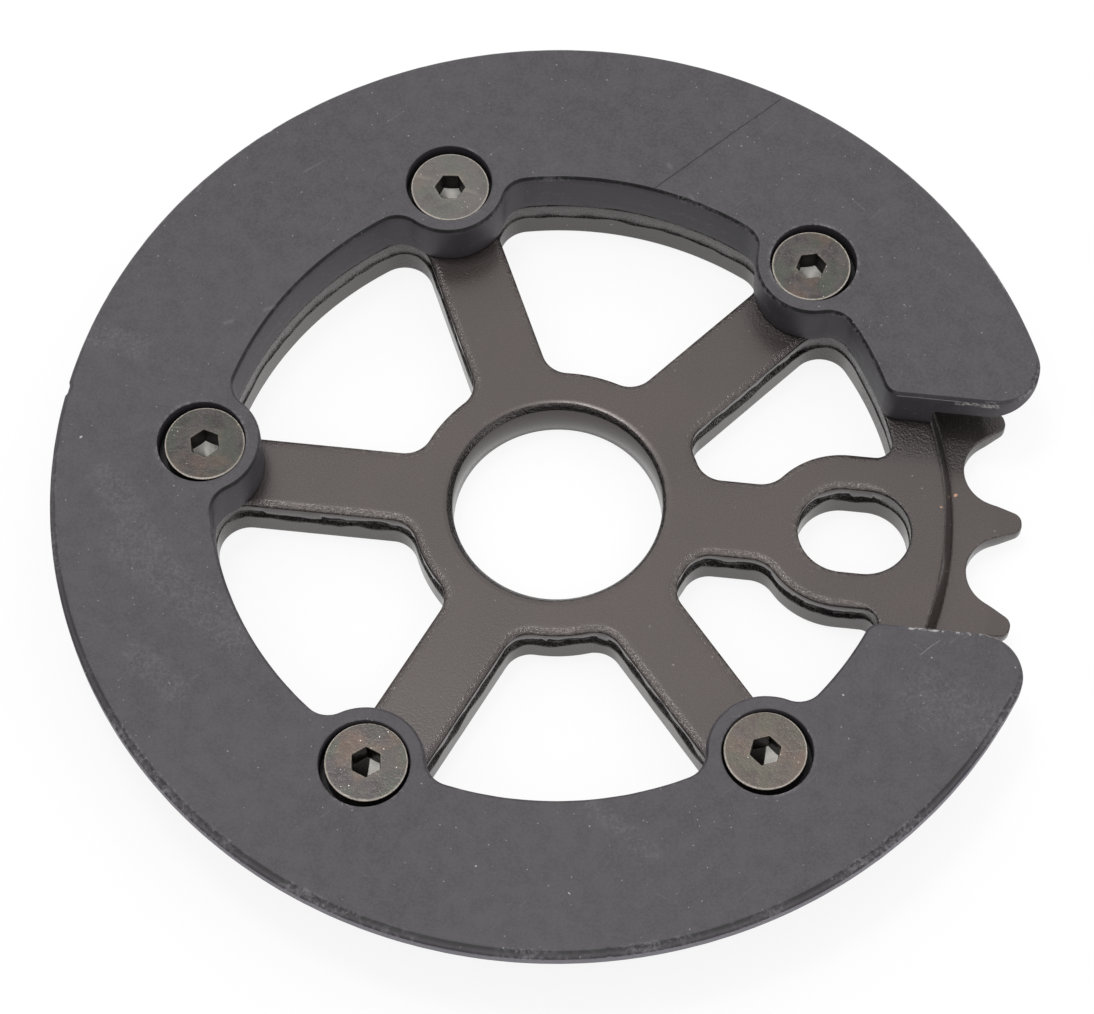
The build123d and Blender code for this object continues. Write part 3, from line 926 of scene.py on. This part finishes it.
# %% The guard's outline
def guard_outline():
    """Outer ring, lower end, inner ring with five bosses and upper end, as sides."""
    sides = [("ring", 0, 0, GUARD_R, -1), ("line", 0, -1, -GAP_LOW), ("ring", 0, 0, GUARD_IN, 1)]
    corners = [(5.0, (51, -19)), (1.8, (38.5, -16))]
    for angle in ANGLES[::-1]:
        side = 13.6 / 38
        corners += [(-3.0, polar(36, angle + side)), (-3.0, polar(36, angle - side))]
        sides += [("ring", *polar(BOSS_AT, angle), BOSS_R, -1), ("ring", 0, 0, GUARD_IN, 1)]
    sides.append(("line", 0, 1, GAP_TOP))
    corners += [(1.8, (38.5, 16.5)), (5.0, (51, 19.5))]
    return outline(sides, corners)


edge_loop = guard_outline()
print("guard outline points", len(edge_loop))

# %% [markdown]
# The walls of the guard end at different heights: the foot goes down to the sprocket, the flange ends
# above the chain, and beyond a certain radius its underside rises towards the rim. The outline gets
# extra points exactly where it crosses the foot's radius, so that the step there is a clean line.

# %% The guard's walls
def under(r):
    """Height of the flange's underside at a radius."""
    return FLANGE_Z + (RIM_Z - FLANGE_Z) * np.clip((r - FLAT_R) / (GUARD_R - FLAT_R), 0, 1)


def add_crossings(loop, radius):
    """Puts a point where the outline crosses a radius; returns the loop and those points' numbers."""
    far = np.hypot(*loop.T) - radius
    made, crossings = [], []
    for i in range(len(loop)):
        made.append(loop[i])
        j = (i + 1) % len(loop)
        if far[i] * far[j] < 0:
            crossings.append(len(made))
            made.append(loop[i] + (loop[j] - loop[i]) * far[i] / (far[i] - far[j]))
    return np.array(made), crossings


# Nicks in the rim: angle in degrees, half width in radians and depth in millimetres.
NICKS = ((174.62, 0.006, 0.32), (175.3, 0.004, 0.2), (-78.06, 0.004, 0.14), (-151, 0.003, 0.1),
         (133, 0.004, 0.08))
# The top edge's rows: share of its width, share of its depth, painted shade inside, painted shade on the
# rim, wear.
EDGE_ROWS = ((1.0, 0.0, 0.0, 0.2, 0.2), (0.95, 0.03, 0.85, 0.85, 0.2), (0.8, 0.16, 0.95, 0.8, 0.2),
             (0.5, 0.5, 1.0, 0.15, 0.2), (0.2, 0.85, 0.95, 0.8, 0.4), (0.05, 1.0, 0.85, 0.8, 0.5),
             (0.0, 1.12, 0.0, 0.0, 0.5))


def guard(shell):
    """Rows over the top edge and down the walls, then the foot; returns the flat areas' borders."""
    loop, crossings = add_crossings(edge_loop, FOOT_R)
    loop = np.roll(loop, -crossings[0], 0)
    last = crossings[1] - crossings[0]
    r = np.hypot(*loop.T)
    out = normals(loop)
    along, whole = lengths(loop)
    lap = along / whole * 2 * np.pi
    outside = r > GUARD_R - 1.5
    corner = 0.32
    wavy = np.abs(0.02 * wave(lap * 60, 21, 1.0, 3))
    places = [(radians(a), *size) for a, *size in NICKS]
    nicks = bumps(np.arctan2(loop[:, 1], loop[:, 0]), places, 2 * np.pi) * outside
    upper_end = (loop[:, 1] > 13) * (loop[:, 0] > 36.5)
    # Painted shade on the top edge: stronger where the edge faces -Y, weaker on the upper end's wall.
    shaded = np.clip(0.35 - 1.3 * out[:, 1], 0, 1) * (1 - 0.6 * (upper_end * ~outside))
    # The rim has worn to a wider and paler round than the inside, most of all on the near side.
    soft = outside * np.clip(0.3 - 0.9 * out[:, 1], 0, 1)
    rows = [shell.row(inset(loop, out, corner + skirt + nicks + 0.85 * soft), top_z)
            for skirt in (0.35, 0.15)]
    scuffed = upper_end * (0.5 + 2.0 * (np.abs(loop[:, 0] - 46.4) < 2.6))
    for part, drop, shade, rim_shade, worn in EDGE_ROWS:
        width = (corner + 0.7 * soft) * part ** (1 + 0.4 * soft)
        rows.append(shell.row(inset(loop, out, width + wavy * (1 - part) + nicks), top_z - corner * drop,
                              edge=worn + scuffed * (drop > 0.4) + 0.2 * soft * (drop < 0.9), wall=drop,
                              dark=np.where(outside, rim_shade, shade) * shaded))
    corner *= 1.12
    low = np.where(r <= FOOT_R + 1e-6, FLANGE_Z, under(r))
    for t in (0.3, 0.6, 0.85, 1.0):
        rows.append(shell.row(inset(loop, out, wavy + nicks * (1 - t)),
                              top_z - corner + (low - top_z + corner) * t, wall=1.0, edge=0.25 * (t == 1.0)))
    shell.strips(rows)
    # The foot is the part of the outline whose radius is below the foot's, between the two crossings.
    inner, outer = np.arange(0, last + 1), np.r_[last:len(loop), 0]
    foot_rows = [rows[-1][inner]]
    ragged = np.clip(0.6 + 0.6 * wave(lap * 45, 31, 1.0, 3), 0, 1.2)
    # The foot's lowest rows are darkened where it meets the sprocket: a painted shade in that crevice.
    for t, cut, shade in ((0.5, 0.0, 0.0), (0.86, 0.0, 0.15), (0.94, 0.1, 0.9), (1.0, 0.22, 1.0)):
        foot_rows.append(shell.row(inset(loop, out, wavy + cut * ragged)[inner],
                                   FLANGE_Z + (seat_z - FLANGE_Z) * t, wall=1.0, dark=shade))
    shell.strips(foot_rows, closed=False)
    # The foot's outer wall goes back from the last crossing to the first one, round the far side.
    back = arc(np.zeros(2), loop[last], loop[0], 1, 0.6)[1:]
    wall_rows = []
    # The foot's outer wall is darkened a little: a painted shade under the flange.
    for k, t in enumerate((0.0, 0.5, 0.86, 0.94, 1.0)):
        made = shell.row(back, FLANGE_Z + (seat_z - FLANGE_Z) * t, wall=1.0, dark=0.3)
        wall_rows.append(np.r_[foot_rows[k][-1], made, foot_rows[k][0]])
    shell.strips(wall_rows, closed=False)
    flange = np.r_[rows[-1][outer], wall_rows[0][1:-1][::-1]]
    foot = np.r_[foot_rows[-1], wall_rows[-1][1:-1]]
    return rows[0], flange, foot


body = Shell()
top_loop, flange_loop, foot_loop = guard(body)
print("border points: top", len(top_loop), "flange", len(flange_loop), "foot", len(foot_loop))

# %% [markdown]
# Each bolt sits in a counterbore: a round pocket with a flat floor, and a smaller hole through the
# floor. The flat areas are filled last: the top round the pockets, the flange's underside with four
# rings of extra points that carry its cone, and the foot's sole round the holes.

# %% Pockets and flat areas
pockets, holes = [], []
for angle in ANGLES:
    x, y = polar(BOSS_AT, angle)
    ring, small = circle(x, y, COUNTERBORE, 72)[::-1], circle(x, y, HOLE, 72)[::-1]
    out = normals(ring)
    # The pocket's rows are darkened more with depth: a painted shade in the counterbore.
    rows = [body.row(inset(ring, out, 0.5), top_z), body.row(inset(ring, out, 0.2), top_z, edge=0.4),
            body.row(inset(ring, out, 0.06), top_z - 0.05, edge=0.9, dark=0.3),
            body.row(ring, top_z - 0.2, wall=1.0, dark=0.5), body.row(ring, SEAT_Z, wall=1.0, dark=0.9),
            body.row(small, SEAT_Z, dark=0.9), body.row(small, seat_z, wall=1.0, dark=0.9)]
    body.strips(rows)
    pockets.append(rows[0])
    holes.append(rows[-1])
body.fill([top_loop, *pockets])
body.fill([foot_loop, *holes], up=False)
rings = []
for r in (47.5, FLAT_R, 53.0, 55.0):
    t = np.linspace(np.arcsin((GAP_TOP + 0.6 + 2.2 * (r > 53)) / r),
                    2 * np.pi - np.arcsin((-GAP_LOW + 0.6 + 2.2 * (r > 53)) / r), 500)
    rings.append(body.row(np.stack(polar(r, t), 1), under(np.full(500, r))))
body.fill([flange_loop], up=False, extra=rings)
guard_piece = body.mesh("guard_moulding", nylon)
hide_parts("guard_ring")
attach(guard_piece, "root")

# %% [markdown]
# ## The bolts
# A bolt is turned, apart from its socket, so a Screw modifier could make all but the hexagon. It is
# built as rings of points at the same angles instead, and round rings and six-sided ones join up. A
# hexagon's radius at an angle is its half width divided by the cosine of the angle from the nearest
# flat's middle. The drill leaves a cone at the bottom, wider than the flats, so the walls end in
# shallow arches. That cone carries a painted highlight: on the two near bolts it covers one half
# sharply; on the others it is soft and grows towards the middle. Where the highlight is weak, the cone
# is painted dark, a painted shade.

# %% The bolts
def bolt(number, angle, turn):
    """Rings from the shank's end over the head and down the socket, closed by a fan at both ends."""
    shell = Shell()
    count = 120
    t = 2 * np.pi * np.arange(count) / count
    round_ = np.stack([np.cos(t + turn), np.sin(t + turn)], 1)
    flat = (t + np.pi / 6) % (np.pi / 3) - np.pi / 6
    hexa = 1 / np.cos(np.pi / 6 - np.abs(flat)) * HEX
    reach = hexa.max()
    place = np.array(polar(BOLT_R, angle))
    wobble = 0.012 * wave(t * 7, number, 1.0, 3)
    cone, floor, bottom = np.tan(radians(30)), HEAD_Z - 2.7, back_z + 0.2
    shares = np.array([0.98, 0.8, 0.6, 0.4, 0.2, 0.01])[:, None]
    # The painted highlight on the socket's cone, carried as its edge value.
    if number > 3:
        cone_highlight = 1.3 * np.clip((np.cos(t + turn) - 0.03) / 0.1, 0, 1) * np.ones_like(shares)
    else:
        cone_highlight = 0.4 + 0.6 * (1 - shares) * np.clip(np.cos(t + turn - radians(50)) + 0.3, 0, 1)

    def ring(radius, z, edge=0.0, wall=0.0, dark=0.0):
        """A ring round the bolt's axis; the radius is one number or one for each point."""
        return shell.row(place + round_ * (radius * np.ones(count))[:, None], z, edge, wall, dark)

    rows = [ring(*row) for row in (
        (0.02, bottom), (SHANK_R - 0.4, bottom), (SHANK_R, bottom + 0.4), (SHANK_R, SEAT_Z),
        (HEAD_R - 0.1, SEAT_Z), (HEAD_R, SEAT_Z + 0.1), (HEAD_R, HEAD_Z - 0.2, 0.0, 0.6),
        (HEAD_R - 0.01, HEAD_Z - 0.14, 0.7, 0.3), (HEAD_R - 0.06 + wobble, HEAD_Z - 0.06, 1.2),
        (HEAD_R - 0.14 + wobble, HEAD_Z - 0.015, 1.2), (HEAD_R - 0.2 + wobble, HEAD_Z, 0.4),
        (HEAD_R - 0.32, HEAD_Z), (3.4, HEAD_Z), (2.5, HEAD_Z), (hexa + 0.22, HEAD_Z, 0.1),
        (hexa + 0.09, HEAD_Z, 0.55), (hexa + 0.02, HEAD_Z - 0.06, 0.5, 0.5), (hexa, HEAD_Z - 0.14, 0.0, 1.0),
        (hexa, HEAD_Z - 1.4, 0.0, 1.0), (hexa, floor - (reach - hexa) * cone, 0.0, 1.0))]
    for share, highlight in zip(shares, cone_highlight):
        rows.append(ring(hexa * share, floor - (reach - hexa * share) * cone, highlight, dark=1.0))
    shell.strips(rows[::-1])
    for end, z in ((rows[0], bottom), (rows[-1], floor - reach * cone)):
        middle = shell.row(place[None], z, dark=float(z > bottom))
        fan = np.stack([np.full(count, middle[0]), np.roll(end, -1), end], 1)
        shell.tris.append(fan if z == bottom else fan[:, ::-1])
    piece = shell.mesh(f"bolt_{number}_steel", steel, 32)
    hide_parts(f"guard_bolt_{number}")
    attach(piece, "root")


for number, (angle, turn) in enumerate(zip(ANGLES, HEX_TURNS), 1):
    bolt(number, angle, turn)

# %% [markdown]
# ## The floor and the light
# The object lies on a pale floor under a broad soft light, as in a product photo. The camera sees the
# floor a little brighter than it is, by Light Path, so that its shadow stays but the ground is pale.

# %% Floor, world and lights
def make_floor():
    """A matte plane that the camera and reflections see mostly as white."""
    mesh = bpy.data.meshes.new("floor")
    half, z = 1.5, cad_low.z - 0.00002
    corners = [(x * half, y * half, z) for x, y in ((-1, -1), (1, -1), (1, 1), (-1, 1))]
    mesh.from_pydata(corners, [], [(0, 1, 2, 3)])
    made = bpy.data.materials.new("pale_floor")
    made.use_nodes = True
    n = Nodes(made.node_tree)
    n.tree.nodes.clear()
    matte = n.add("ShaderNodeBsdfDiffuse", {"Color": (0.86, 0.86, 0.86, 1)}).outputs[0]
    glow = n.add("ShaderNodeEmission", {"Color": (1, 1, 1, 1), "Strength": 1.0}).outputs[0]
    path = n.add("ShaderNodeLightPath").outputs
    share = n.math("MAXIMUM", n.times(path["Is Camera Ray"], 0.87), n.times(path["Is Glossy Ray"], 0.8))
    both = n.add("ShaderNodeMixShader", {0: share, 1: matte, 2: glow}).outputs[0]
    n.add("ShaderNodeOutputMaterial", {"Surface": both})
    mesh.materials.append(made)
    floor = bpy.data.objects.new("floor", mesh)
    bpy.context.scene.collection.objects.link(floor)
    floor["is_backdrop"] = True
    print("floor at", round(z / MM, 2), "mm")


def make_world():
    """Grey from below to white from above, tilted towards +Y; plain white to the camera."""
    world = bpy.data.worlds.new("studio")
    world.use_nodes = True
    n = Nodes(world.node_tree)
    n.tree.nodes.clear()
    direction = n.add("ShaderNodeTexCoord").outputs["Generated"]
    axes = n.add("ShaderNodeSeparateXYZ", {0: direction}).outputs
    up = n.math("ADD", axes["Z"], n.times(axes["Y"], 0.25))
    sky = n.mix(n.ramp(up, 0.3, 0.66), (0.08, 0.08, 0.08, 1), (1.4, 1.4, 1.4, 1))
    sky = n.mix(n.add("ShaderNodeLightPath").outputs["Is Camera Ray"], sky, (1, 1, 1, 1))
    n.add("ShaderNodeOutputWorld", {"Surface": n.add("ShaderNodeBackground", {"Color": sky}).outputs[0]})
    bpy.context.scene.world = world


def add_light(name, place, size, power):
    """A square soft light that points at the origin."""
    light = bpy.data.lights.new(name, "AREA")
    light.shape, light.size, light.energy = "SQUARE", size, power
    lamp = bpy.data.objects.new(name, light)
    lamp.location = place
    lamp.rotation_mode = "QUATERNION"
    lamp.rotation_quaternion = (-Vector(place)).to_track_quat("-Z", "Y")
    bpy.context.scene.collection.objects.link(lamp)
    print(name, "side", size, "m, power", power, "W")


make_floor()
make_world()
add_light("softbox_top", (-0.14, 0.1, 0.87), 0.14, 1.6)
add_light("softbox_right", (0.75, -0.4, 0.32), 0.3, 1.2)

# %% [markdown]
# ## The camera
# The camera was fitted to the photo: 64 degrees above the horizon, a little to the right of the
# slot's cross axis, 41 cm away, with a long lens and a slight roll. It could be placed by eye, but
# the fit to bolt heads and outlines leaves less than a pixel.

# %% The camera
def make_camera():
    """Axes from azimuth, elevation and roll; the place is the target plus the way back."""
    target = np.array([-1.11, -0.828, 3.3]) * MM
    azimuth, elevation, roll, far = radians(7.633), radians(63.919), radians(-1.257), 412.08 * MM
    back = np.array([np.sin(azimuth) * np.cos(elevation), -np.cos(azimuth) * np.cos(elevation),
                     np.sin(elevation)])
    right = np.array([np.cos(azimuth), np.sin(azimuth), 0.0])
    up = np.cross(back, right)
    across = np.cos(roll) * right + np.sin(roll) * up
    above = -np.sin(roll) * right + np.cos(roll) * up
    data = bpy.data.cameras.new("camera")
    data.lens, data.sensor_width = 119.09, 36.0
    data.clip_start, data.clip_end = 0.01, 10.0
    camera = bpy.data.objects.new("camera", data)
    columns = np.column_stack([across, above, back, target + far * back])
    camera.matrix_world = Matrix([*columns.tolist(), (0, 0, 0, 1)])
    bpy.context.scene.collection.objects.link(camera)
    bpy.context.scene.camera = camera
    print("camera at", (target + far * back).round(3), "lens", data.lens, "mm")


make_camera()
bpy.context.scene.view_settings.view_transform = "Standard"

# %% [markdown]
# ## The pieces inside the CAD box
# The box of the visual pieces is compared with the CAD part's, and whether it lies inside is printed.

# %% Inside the CAD box
low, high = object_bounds()
inside = all(low[i] >= cad_low[i] - 1e-5 and high[i] <= cad_high[i] + 1e-5 for i in range(3))
print("visual inside the CAD box:", inside)
